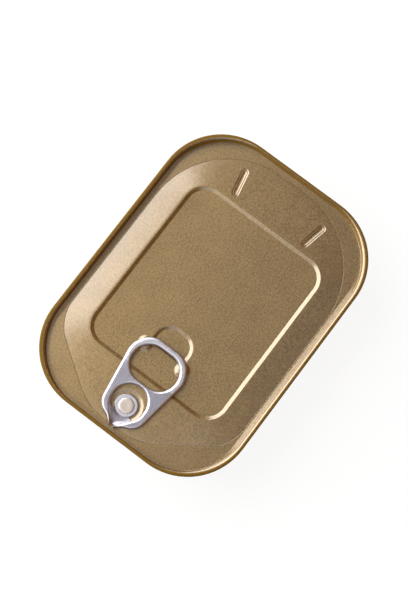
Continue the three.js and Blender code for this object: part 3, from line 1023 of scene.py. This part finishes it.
@dataclass
class TearPanel:
    """Scored part of the end: a crown round a sunk middle, with beads, a finger well and ring rests."""

    plan: EndPlan
    groove_width: float = 0.05
    settle: float = 0.06
    crown_cuts: int = 9
    recess_wall: PressedWall = PressedWall(depth=0.55, slope=25, radius=0.4)
    wall_steps: int = 4
    well_ends: tuple[float, float] = (-20.9, -11.7)
    well_half_width: float = 6.95
    well_radius: float = 5.7
    well_wall: PressedWall = PressedWall(depth=0.45, slope=25, radius=0.4)
    rest_place: tuple[float, float] = (-22.1, 7.45)
    rest_radius: float = 2.7
    rest_wall: PressedWall = PressedWall(depth=0.55, slope=27, radius=1.0)
    dish_radius: float = 12.8
    dish_ring: float = 0.2
    dish_rings: int = 48
    bead_start: tuple[float, float] = (35.9, 14.3)
    bead_end: tuple[float, float] = (43.4, 15.9)
    bead_half_width: float = 1.32
    bead_step: float = 0.34
    bead_wall: PressedWall = PressedWall(depth=0.15, slope=27, radius=0.1)
    coin_radius: float = 5.7
    coin_wall: PressedWall = PressedWall(depth=0.25, slope=14, radius=1.0)
    coin_step: float = 3.4
    bead_cuts: int = 15
    coin_cuts: int = 5
    fine_margin: float = 0.2
    short_side: float = 6.0
    long_side: float = 42.0
    end_side_cuts: int = 24
    long_side_cuts: int = 30

    def side_cuts(self, length: float) -> int:
        """Cuts of a straight side: long sides and ends each keep one count on every outline.

        Args:
            length: length of the side.

        Returns:
            How many cuts it gets.
        """
        if length < self.short_side:
            return 0
        return self.long_side_cuts if length > self.long_side else self.end_side_cuts

    def crown(self, bm: BMesh) -> BMFace:
        """Model the crown between the score and the recess.

        Args:
            bm: the mesh to model in.

        Returns:
            The flat face that closes the recess.
        """
        plan = self.plan
        lip = plan.score.offset(-plan.score_half_gap)
        rim = lip.draw(bm, plan.margin_top, self.side_cuts)
        inset = self.groove_width + self.settle
        rise = inset * plan.crown_rise / plan.crown_side
        outer = lip.offset(-inset).draw(bm, plan.margin_top + rise, self.side_cuts)
        inner = plan.recess.draw(bm, plan.crown_top, self.side_cuts)
        bmesh.ops.bridge_loops(bm, edges=rim + outer)
        known = set(bm.edges) | set(inner)
        bmesh.ops.bridge_loops(bm, edges=outer + inner)
        radial = [edge for edge in bm.edges if edge not in known]
        bmesh.ops.subdivide_edges(bm, edges=radial, cuts=self.crown_cuts, use_grid_fill=True)
        return bmesh.ops.contextual_create(bm, geom=inner)["faces"][0]

    def beads(self) -> list[Bead]:
        """List the two beads, which are mirror images."""
        return [
            Bead(
                Vector((self.bead_start[0], side * self.bead_start[1])),
                Vector((self.bead_end[0], side * self.bead_end[1])),
                self.bead_half_width,
                self.bead_wall,
                self.bead_step,
            )
            for side in (1, -1)
        ]

    def refine(self, bm: BMesh, near: Callable[[Vector], float], cuts: int) -> None:
        """Cut the faces near a pressed feature more finely.

        Args:
            bm: the mesh to cut.
            near: distance in plan from the feature, zero or less inside it.
            cuts: cuts on each edge.
        """
        faces = [
            face
            for face in bm.faces
            if len(face.verts) == 4 and min(near(vert.co.xy) for vert in face.verts) < self.fine_margin
        ]
        edges = {edge for face in faces for edge in face.edges}
        bmesh.ops.subdivide_edges(bm, edges=list(edges), cuts=cuts, use_grid_fill=True)

    def press_crown(self, bm: BMesh) -> None:
        """Press the beads, and the shallow coined dish round the rivet.

        Args:
            bm: the mesh of the crown.
        """
        rivet = Vector((self.plan.score_ends[0] + self.plan.rivet_setback, 0))
        beads = self.beads()
        self.refine(bm, lambda place: (place - rivet).length - self.coin_radius, self.coin_cuts)
        for bead in beads:
            self.refine(bm, bead.outside, self.bead_cuts)
        for vert in bm.verts:
            place = vert.co.xy
            radius = (place - rivet).length
            vert.co.z -= sum(bead.depth(place) for bead in beads)
            vert.co.z -= self.coin_wall.drop(self.coin_radius - radius)
            vert.co.z += self.coin_wall.drop(self.coin_step - radius)

    def well_inset(self, place: Vector) -> float:
        """Distance of a place inside the finger well, which is square under the ring and round beyond it.

        Args:
            place: a place in plan.

        Returns:
            Distance from the well's edge, below zero outside the well.
        """
        near, far = self.well_ends
        turn = Vector((far, self.well_half_width)) - Vector((self.well_radius, self.well_radius))
        beyond = Vector((place.x, abs(place.y))) - turn
        outside = Vector((max(beyond.x, 0), max(beyond.y, 0))).length
        rounded = self.well_radius - outside - min(max(beyond), 0)
        return min(rounded, place.x - near)

    def floor(self, bm: BMesh, face: BMFace) -> None:
        """Press the finger well into the recess floor, and the ring rests up out of it.

        Args:
            bm: the mesh to model in.
            face: the flat floor.
        """
        well = Vector((sum(self.well_ends) / 2, 0, face.calc_center_median().z))
        rests = [Vector((self.rest_place[0], side * self.rest_place[1])) for side in (1, -1)]
        rim = list(face.edges)
        bmesh.ops.delete(bm, geom=[face], context="FACES_ONLY")
        verts = bmesh.ops.create_circle(
            bm,
            cap_ends=True,
            radius=self.dish_radius,
            segments=len(rim),
            matrix=Matrix.Translation(well),
        )["verts"]
        cap = verts[0].link_faces[0]
        bmesh.ops.bridge_loops(bm, edges=rim + list(cap.edges))
        for _ in range(self.dish_rings):
            bmesh.ops.inset_region(
                bm, faces=[cap], thickness=self.dish_ring, use_even_offset=True, use_boundary=True
            )
        for vert in bm.verts:
            if (vert.co.xy - well.xy).length < self.dish_radius:
                vert.co.z -= self.well_wall.drop(self.well_inset(vert.co.xy))
                vert.co.z += sum(
                    self.rest_wall.drop(self.rest_radius - (vert.co.xy - rest).length) for rest in rests
                )

    def build(self) -> BMesh:
        """Model the panel as a sheet with a chamfered scored edge.

        Returns:
            The mesh.
        """
        bm = bmesh.new()
        face = self.crown(bm)
        self.press_crown(bm)
        bmesh.ops.recalc_face_normals(bm, faces=bm.faces)
        self.recess_wall.press(bm, face, self.wall_steps)
        self.floor(bm, face)
        if face_up(bm) < 0:
            bmesh.ops.reverse_faces(bm, faces=bm.faces)
        rim = [edge for edge in bm.edges if edge.is_boundary]
        bmesh.ops.solidify(bm, geom=bm.faces[:], thickness=self.plan.sheet)
        bmesh.ops.bevel(
            bm,
            geom=rim,
            offset=self.groove_width,
            offset_type="OFFSET",
            affect="EDGES",
            segments=1,
            profile=0.5,
            material=-1,
        )
        return bm

    def dress(self) -> bpy.types.Object:
        """Finish the panel in satin gold lacquer."""
        return make_piece(
            "tear_panel_pressed", self.build(), Body.PANEL, [END_LACQUER.material()], "tear_panel"
        )


@dataclass
class Rivet:
    """Button head that clamps the tab's tongue."""

    plan: EndPlan
    head_radius: float = 2.6
    head_bottom: float = 0.5
    head_height: float = 0.45
    shank_radius: float = 1.65
    edge: float = 0.25
    undercut: float = 0.12
    dish: float = 0.06
    dish_shoulder: float = 0.55
    shoulder_share: float = 0.6
    steps: int = 48
    edge_steps: int = 4

    def build(self) -> BMesh:
        """Model the button by spinning its section.

        Returns:
            The mesh.
        """
        bm = bmesh.new()
        top = self.head_bottom + self.head_height
        rim = self.head_radius - self.edge
        edge = arc((rim, top - self.edge), self.edge, 90, 0, self.edge_steps)
        section = [
            Vector((0, top - self.dish)),
            Vector((rim * self.dish_shoulder, top - self.dish * self.shoulder_share)),
            *edge,
            Vector((self.head_radius - self.undercut, self.head_bottom)),
            Vector((self.shank_radius, self.head_bottom)),
            Vector((self.shank_radius, -self.plan.sheet)),
            Vector((0, -self.plan.sheet)),
        ]
        verts = [bm.verts.new((radius, 0, z)) for radius, z in section]
        edges = [bm.edges.new(pair) for pair in zip(verts, verts[1:])]
        bmesh.ops.spin(
            bm,
            geom=verts + edges,
            cent=(0, 0, 0),
            axis=(0, 0, 1),
            angle=2 * math.pi,
            steps=self.steps,
            use_merge=True,
        )
        bmesh.ops.remove_doubles(bm, verts=bm.verts, dist=MERGE_DISTANCE)
        bmesh.ops.recalc_face_normals(bm, faces=bm.faces)
        seat = self.plan.tab_frame @ Matrix.Translation((self.plan.rivet_setback, 0, 0))
        bmesh.ops.transform(bm, matrix=seat, verts=bm.verts)
        return bm

    def dress(self) -> bpy.types.Object:
        """Finish the button in stretched pale lacquer."""
        return make_piece(
            "rivet_button", self.build(), Body.PANEL, [STRETCHED_LACQUER.material()], "rivet"
        )


@dataclass
class Stamping:
    """A plate with rolled edges, modelled as an even voxel solid whose square edges are turned round."""

    outer: Outline
    holes: Sequence[Outline]
    bottom: float
    top: float
    edge_width: Callable[[Vector], float]
    voxel: float
    polish: int = 3

    def slab(self) -> BMesh:
        """Model the plate with square edges.

        Returns:
            The mesh.
        """
        bm = bmesh.new()
        wires = [edge for outline in (self.outer, *self.holes) for edge in outline.draw(bm, self.top)]
        bmesh.ops.triangle_fill(bm, use_beauty=True, edges=wires, normal=(0, 0, 1))
        bmesh.ops.solidify(bm, geom=bm.faces[:], thickness=self.top - self.bottom)
        return bm

    def voxels(self) -> BMesh:
        """Remake the plate as a closed mesh of even small faces.

        Returns:
            The mesh.
        """
        mesh = bpy.data.meshes.new("slab")
        bm = self.slab()
        bm.to_mesh(mesh)
        bm.clear()
        slab = bpy.data.objects.new("slab", mesh)
        bpy.context.scene.collection.objects.link(slab)
        remesh = slab.modifiers.new("voxels", "REMESH")
        remesh.mode = "VOXEL"
        remesh.voxel_size = self.voxel
        shaped = slab.evaluated_get(bpy.context.evaluated_depsgraph_get())
        bm.from_mesh(shaped.to_mesh())
        shaped.to_mesh_clear()
        bpy.data.objects.remove(slab)
        bpy.data.meshes.remove(mesh)
        return bm

    def wall(self, outline: Outline) -> BVHTree:
        """Stand a wall on an outline, with its faces looking out of it.

        Args:
            outline: an edge of the plate.

        Returns:
            A search tree of the wall.
        """
        bm = bmesh.new()
        # The wall stands out past both faces of the plate by the plate's thickness
        thickness = self.top - self.bottom
        edges = outline.draw(bm, self.bottom - thickness)
        raised = bmesh.ops.extrude_edge_only(bm, edges=edges)["geom"]
        verts = [item for item in raised if isinstance(item, BMVert)]
        bmesh.ops.translate(bm, vec=(0, 0, 3 * thickness), verts=verts)
        bmesh.ops.recalc_face_normals(bm, faces=bm.faces)
        tree = BVHTree.FromBMesh(bm)
        bm.free()
        return tree

    def edge_finder(self) -> Callable[[Vector], tuple[Vector, float, Vector]]:
        """Make a function that gives the nearest place on an edge, its distance and the way off that edge.

        Returns:
            The function.
        """
        walls = [(self.wall(self.outer), -1.0)] + [(self.wall(hole), 1.0) for hole in self.holes]

        def nearest(place: Vector) -> tuple[Vector, float, Vector]:
            """Look on every wall, and keep the nearest.

            Args:
                place: a place on the plate.

            Returns:
                Place on the edge, distance from it, and direction from the edge into the plate.
            """
            finds = [(*tree.find_nearest(place), sign) for tree, sign in walls]
            spot, normal, _, distance, sign = min(finds, key=lambda find: find[3])
            inward = (place - spot) / distance if distance > self.voxel / 4 else normal * sign
            return spot, distance, inward

        return nearest

    def rolled(self) -> tuple[BMesh, dict[BMVert, float]]:
        """Model the plate with its edges turned round.

        Returns:
            The mesh, and the distance of each vertex from the plate's edge.
        """
        bm = self.voxels()
        nearest = self.edge_finder()
        middle = (self.bottom + self.top) / 2
        half = (self.top - self.bottom) / 2
        distances = {}
        for vert in bm.verts:
            spot, distance, inward = nearest(vert.co)
            distances[vert] = distance
            width = self.edge_width(spot)
            out = max(0.0, 1 - distance / width)
            high = max(-1.0, min(1.0, (vert.co.z - middle) / half))
            # The square section of the edge is drawn onto a half disc
            moved = out * (1 - math.sqrt(1 - high * high / 2))
            vert.co += inward * moved * width
            vert.co.z = middle + half * high * math.sqrt(1 - out * out / 2)
        for _ in range(self.polish):
            bmesh.ops.smooth_vert(
                bm, verts=bm.verts, factor=0.5, use_axis_x=True, use_axis_y=True, use_axis_z=True
            )
        return bm, distances


@dataclass
class PullTab:
    """Ring, web and arms of the tab, stamped from strip with its edges curled under."""

    plan: EndPlan
    reach: float = 31.5
    ring_half_width: float = 11.0
    ring_shoulder: float = 6.5
    ring_drop: float = 3.8
    ring_radius: float = 6.4
    shoulder: tuple[float, float] = (3.3, 7.8)
    shoulder_radius: float = 5.5
    beak: tuple[float, float] = (1.25, 3.15)
    beak_radius: float = 3.5
    tip: tuple[float, float] = (-0.6, 0.95)
    tip_radius: float = 0.35
    notch: tuple[float, float] = (0.0, 0.2)
    notch_radius: float = 0.1
    slot_start: tuple[float, float] = (0.6, 1.1)
    slot_radius: float = 0.4
    window_shoulder: float = 6.6
    window_shoulder_radius: float = 4.0
    window_centre: float = 9.4
    window_radius: float = 5.8
    hole_ends: tuple[float, float] = (16.6, 29.3)
    hole_half_width: float = 8.4
    hole_radius: float = 6.2
    bottom: float = 0.3
    top: float = 1.5
    curl: float = 0.85
    window_curl: float = 0.95
    web_start: float = 1.0
    web_end: float = 2.4
    hollow: float = 0.55
    ring_start: float = 19.5
    highlight_edge: float = 0.5
    voxel: float = 0.14
    steps: int = 14
    fine_steps: int = 4

    def outline(self) -> Outline:
        """Outline of the tab, which runs into the window between the two arm tips.

        Returns:
            The outline.
        """
        window_end = self.window_centre + self.window_radius
        half = (
            Corner(self.reach, self.ring_half_width - self.ring_drop, self.ring_radius, self.steps),
            Corner(self.reach - self.ring_shoulder, self.ring_half_width, self.ring_radius, self.steps),
            Corner(*self.shoulder, self.shoulder_radius, self.steps),
            Corner(*self.beak, self.beak_radius, self.fine_steps),
            Corner(*self.tip, self.tip_radius, self.fine_steps),
            Corner(*self.notch, self.notch_radius, self.fine_steps),
            Corner(*self.slot_start, self.slot_radius, self.fine_steps),
            Corner(self.window_shoulder, self.window_radius, self.window_shoulder_radius, self.steps),
            Corner(window_end, self.window_radius, self.window_radius - ROUND_SLACK, 2 * self.steps),
        )
        return Outline.mirrored(half)

    def finger_hole(self) -> Outline:
        """Outline of the finger hole.

        Returns:
            The outline.
        """
        near, far = self.hole_ends
        half = self.hole_half_width
        return Outline.rectangle((near, -half), (far, half), self.hole_radius, self.steps)

    def curl_at(self, spot: Vector) -> float:
        """Width of the curl at a place on the edge, wider round the window."""
        off_window = math.hypot(spot.x - self.window_centre, spot.y) - self.window_radius
        return self.window_curl if off_window < self.voxel else self.curl

    def build(self) -> BMesh:
        """Model the tab on the slope of the crown, with a web that is hollow underneath.

        Returns:
            The mesh.
        """
        stamping = Stamping(
            self.outline(), [self.finger_hole()], self.bottom, self.top, self.curl_at, self.voxel
        )
        bm, distances = stamping.rolled()
        bm.normal_update()
        for vert, distance in distances.items():
            if vert.normal.z < 0:
                vert.co.z += self.hollow * eased(distance, self.web_start, self.web_end)
        # The ring and the curls take the paler finish, which is painted highlight
        for face in bm.faces:
            on_ring = face.calc_center_median().x > self.ring_start
            on_curl = min(distances[vert] for vert in face.verts) < self.highlight_edge
            finish = TabFinish.PAINTED_HIGHLIGHT if on_ring or on_curl else TabFinish.BARE
            face.material_index = finish.value
        bmesh.ops.transform(bm, matrix=self.plan.tab_frame, verts=bm.verts)
        return bm

    def dress(self) -> bpy.types.Object:
        """Finish the tab in bare aluminium, with a paler ring and curls that are painted highlight."""
        finishes = [BARE_ALUMINIUM.material(), PAINTED_HIGHLIGHT_ALUMINIUM.material()]
        return make_piece("pull_tab_curled", self.build(), Body.TAB, finishes, "pull_tab")


@dataclass
class TabTongue:
    """Island under the rivet, and the folded neck that bends when the tab is lifted."""

    plan: EndPlan
    radius: float = 3.9
    bottom: float = 0.1
    top: float = 0.45
    edge: float = 0.18
    island_sweep: float = 38.0
    joint_gap: float = 0.22
    joint_radius: float = 0.1
    root: tuple[float, float] = (4.85, 4.75)
    throat: tuple[float, float] = (0.65, 1.35)
    neck_radius: float = 0.3
    nose: tuple[float, float] = (0.2, 0.25)
    nose_radius: float = 0.1
    valley: float = -0.2
    valley_share: float = 0.35
    rim_rise: float = 0.8
    drift: float = 2.2
    drift_range: tuple[float, float] = (1.0, 4.0)
    step: float = 0.15
    highlight_radius: float = 3.5
    voxel: float = 0.1
    steps: int = 20
    fine_steps: int = 4
    bend_start: float = 3.4
    bend_end: float = 0.3

    @property
    def centre(self) -> float:
        """Distance of the island's middle, under the rivet, from the score line."""
        return self.plan.rivet_setback

    def outline(self) -> Outline:
        """Outline of the round island and its neck.

        Returns:
            The outline.
        """
        sweep = math.radians(self.island_sweep)
        island_radius = self.radius - ROUND_SLACK
        along = Vector((-math.cos(sweep), -math.sin(sweep)))
        leaving = Vector((self.centre, 0)) + self.radius * Vector((-math.sin(sweep), math.cos(sweep)))
        joint = leaving + along * self.joint_gap
        half = (
            Corner(self.centre + self.radius, self.radius, island_radius, self.steps),
            Corner(
                self.centre - self.radius * math.tan(sweep / 2),
                self.radius,
                island_radius,
                self.steps // 2,
            ),
            Corner(joint.x, joint.y, self.joint_radius, self.fine_steps),
            Corner(*self.root, self.neck_radius, self.fine_steps),
            Corner(*self.throat, self.neck_radius, self.fine_steps),
            Corner(*self.nose, self.nose_radius, self.fine_steps),
        )
        return Outline.mirrored(half)

    def half_width(self, x: float) -> float:
        """Half the neck's width at a distance from the nose."""
        share = (x - self.throat[0]) / (self.root[0] - self.throat[0])
        return max(self.throat[1], self.throat[1] + share * (self.root[1] - self.throat[1]))

    def fold(self, place: Vector) -> float:
        """Height of the neck over the island: a round valley that drifts to the -Y arm near the island.

        Args:
            place: a place in the tab's frame.

        Returns:
            The height, which is zero on the island.
        """
        radius = math.hypot(place.x - self.centre, place.y)
        outside = eased(radius, self.radius - self.step, self.radius + self.step)
        off_valley = place.y + self.drift * eased(place.x, *self.drift_range)
        share = off_valley / self.half_width(place.x)
        across = math.hypot(share, self.valley_share) - self.valley_share
        return outside * (self.valley + self.rim_rise * across)

    def build(self) -> BMesh:
        """Model the tongue on the slope of the crown.

        Returns:
            The mesh.
        """
        stamping = Stamping(self.outline(), [], self.bottom, self.top, lambda _: self.edge, self.voxel)
        bm, _ = stamping.rolled()
        # The island takes the paler finish, which is painted highlight
        for face in bm.faces:
            place = face.calc_center_median()
            on_island = math.hypot(place.x - self.centre, place.y) < self.highlight_radius
            finish = TabFinish.PAINTED_HIGHLIGHT if on_island else TabFinish.BARE
            face.material_index = finish.value
        for vert in bm.verts:
            vert.co.z += self.fold(vert.co)
        bmesh.ops.transform(bm, matrix=self.plan.tab_frame, verts=bm.verts)
        return bm

    def dress(self) -> bpy.types.Object:
        """Finish the tongue with a paler island, which is painted highlight, and leave it on no body.

        Returns:
            The finished object.
        """
        finishes = [BARE_ALUMINIUM.material(), PAINTED_HIGHLIGHT_ALUMINIUM.material()]
        piece = make_piece("tab_tongue_neck", self.build(), None, finishes, "tab_tongue")
        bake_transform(piece)
        return piece


@dataclass
class SeamingCompound:
    """Ring of sealing compound inside the seam, which keeps its CAD shape."""

    finish: CuredCompound = CuredCompound()

    def dress(self) -> bpy.types.Object:
        """Give the CAD ring its matt rubber finish.

        Returns:
            The CAD node.
        """
        ring = frame["nodes"]["seaming_compound"]
        ring.data.materials.clear()
        ring.data.materials.append(self.finish.material())
        LOG.info("seaming_compound: CAD shape kept")
        return ring


@dataclass(frozen=True)
class SoftBox:
    """A square soft light that faces the can, with its radiance in units of a white surface."""

    name: str
    azimuth: float
    off_zenith: float
    size: float
    radiance: float
    distance: float = 400.0

    def hang(self) -> None:
        """Hang the light over the can."""
        off_zenith = math.radians(self.off_zenith)
        azimuth = math.radians(self.azimuth)
        bearing = Vector((math.cos(azimuth), math.sin(azimuth), 0))
        away = bearing * math.sin(off_zenith) + Vector((0, 0, math.cos(off_zenith)))
        data = bpy.data.lights.new(self.name, "AREA")
        data.shape = "SQUARE"
        data.size = self.size * MM
        data.energy = self.radiance * math.pi * data.size**2
        lamp = bpy.data.objects.new(self.name, data)
        turn = away.to_track_quat("Z", "Y").to_matrix().to_4x4()
        lamp.matrix_world = Matrix.Translation(away * self.distance * MM) @ turn
        bpy.context.scene.collection.objects.link(lamp)


@dataclass
class Studio:
    """Pale floor, a key light from the can's +Y side, a weak fill light, a dark screen and the camera."""

    camera_roll: float = 52.6
    camera_tilt: float = 7.95
    camera_side: float = -4.55
    camera_distance: float = 450.0
    camera_target: tuple[float, float, float] = (-1.19, -0.5, 21.3)
    focal_pixels: float = 1379.1
    image_height: int = 612
    sensor: float = 36.0
    floor_radius: float = 6000.0
    floor_segments: int = 64
    floor_colour: str = "#f4f4f4"
    floor_glow: float = 0.9
    key: SoftBox = SoftBox("key_soft_box", azimuth=94, off_zenith=54.5, size=600, radiance=4.8)
    fill: SoftBox = SoftBox("fill_soft_box", azimuth=188, off_zenith=28, size=270, radiance=0.85)
    world_strength: float = 0.44
    screen_radius: float = 700.0
    screen_top: float = 24.0
    screen_bottom: float = 89.0
    screen_azimuths: tuple[float, float] = (-125.0, 12.0)
    screen_steps: tuple[int, int] = (12, 24)
    screen_colour: str = "#a27748"

    def camera(self) -> None:
        """Place the camera as the photograph's was."""
        tilt = math.radians(self.camera_tilt)
        side = math.radians(self.camera_side)
        roll = math.radians(self.camera_roll)
        back = Vector(
            (-math.sin(tilt), math.sin(side) * math.cos(tilt), math.cos(tilt) * math.cos(side))
        ).normalized()
        across = (Vector((1, 0, 0)) - back * back.x).normalized()
        up = back.cross(across)
        x_axis = across * math.cos(roll) - up * math.sin(roll)
        y_axis = across * math.sin(roll) + up * math.cos(roll)
        eye = (Vector(self.camera_target) + back * self.camera_distance) * MM
        data = bpy.data.cameras.new("photo_camera")
        data.sensor_width = self.sensor
        data.lens = self.focal_pixels * self.sensor / self.image_height
        data.clip_start = MM
        camera = bpy.data.objects.new("photo_camera", data)
        rotation = Matrix((x_axis, y_axis, back)).transposed().to_4x4()
        camera.matrix_world = Matrix.Translation(eye) @ rotation
        bpy.context.scene.collection.objects.link(camera)
        bpy.context.scene.camera = camera

    def floor(self) -> None:
        """Lay the pale floor, which glows nearly white where it is seen and keeps a faint shadow."""
        bm = bmesh.new()
        bmesh.ops.create_circle(
            bm, cap_ends=True, radius=self.floor_radius * MM, segments=self.floor_segments
        )
        mesh = bpy.data.meshes.new("pale_floor")
        bm.to_mesh(mesh)
        bm.free()
        material = bpy.data.materials.new("pale_studio_floor")
        material.use_nodes = True
        tree = material.node_tree
        tree.nodes.clear()
        path = add_node(tree, "ShaderNodeLightPath")
        seen = add_node(
            tree,
            "ShaderNodeMath",
            {0: path.outputs["Is Camera Ray"], 1: path.outputs["Is Glossy Ray"]},
            operation="MAXIMUM",
        )
        shown = add_node(
            tree,
            "ShaderNodeMath",
            {0: seen.outputs[0], 1: path.outputs["Is Transmission Ray"]},
            operation="MAXIMUM",
        )
        share = add_node(
            tree, "ShaderNodeMath", {0: shown.outputs[0], 1: self.floor_glow}, operation="MULTIPLY"
        )
        paint = add_node(tree, "ShaderNodeBsdfDiffuse", {"Color": linear(self.floor_colour)})
        white = add_node(tree, "ShaderNodeEmission", {"Color": linear(WHITE), "Strength": 1.0})
        mix = add_node(
            tree, "ShaderNodeMixShader", {0: share.outputs[0], 1: paint.outputs[0], 2: white.outputs[0]}
        )
        add_node(tree, "ShaderNodeOutputMaterial", {"Surface": mix.outputs[0]})
        mesh.materials.append(material)
        floor = bpy.data.objects.new("pale_floor", mesh)
        bpy.context.scene.collection.objects.link(floor)

    def dark_screen(self) -> None:
        """Stand a curved dark brown screen opposite the key light, which the camera doesn't see."""
        bm = bmesh.new()
        steps_down, steps_round = self.screen_steps
        angles = [
            math.radians(self.screen_top + (self.screen_bottom - self.screen_top) * step / steps_down)
            for step in range(steps_down + 1)
        ]
        radius = self.screen_radius * MM
        start, end = (math.radians(azimuth) for azimuth in self.screen_azimuths)
        verts = [
            bm.verts.new((radius * math.sin(angle), 0, radius * math.cos(angle))) for angle in angles
        ]
        edges = [bm.edges.new(pair) for pair in zip(verts, verts[1:])]
        bmesh.ops.rotate(bm, cent=(0, 0, 0), matrix=Matrix.Rotation(start, 3, "Z"), verts=verts)
        bmesh.ops.spin(
            bm, geom=verts + edges, cent=(0, 0, 0), axis=(0, 0, 1), angle=end - start, steps=steps_round
        )
        mesh = bpy.data.meshes.new("dark_screen")
        bm.to_mesh(mesh)
        bm.free()
        material = bpy.data.materials.new("dark_studio_screen")
        material.use_nodes = True
        shader = material.node_tree.nodes["Principled BSDF"]
        shader.inputs["Base Color"].default_value = linear(self.screen_colour)
        shader.inputs["Roughness"].default_value = 1.0
        mesh.materials.append(material)
        screen = bpy.data.objects.new("dark_screen", mesh)
        screen.visible_camera = False
        bpy.context.scene.collection.objects.link(screen)

    def world(self) -> None:
        """Fill the room with even white light."""
        world = bpy.data.worlds.new("pale_studio")
        world.use_nodes = True
        background = world.node_tree.nodes["Background"]
        background.inputs["Color"].default_value = linear(WHITE)
        background.inputs["Strength"].default_value = self.world_strength
        bpy.context.scene.world = world

    def build(self) -> None:
        """Set up the whole studio."""
        bpy.context.scene.view_settings.view_transform = "Standard"
        self.camera()
        self.floor()
        self.world()
        self.key.hang()
        self.fill.hang()
        self.dark_screen()


def main() -> None:
    """Build the studio and every piece."""
    logging.basicConfig(level=logging.INFO, format="%(name)s: %(message)s")
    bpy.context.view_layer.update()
    plan = EndPlan()
    Studio().build()
    for assembly in (
        CanBody(plan),
        LidRing(plan),
        SeamingCompound(),
        TearPanel(plan),
        Rivet(plan),
        TabTongue(plan),
        PullTab(plan),
    ):
        assembly.dress()


if __name__ == "__main__":
    main()
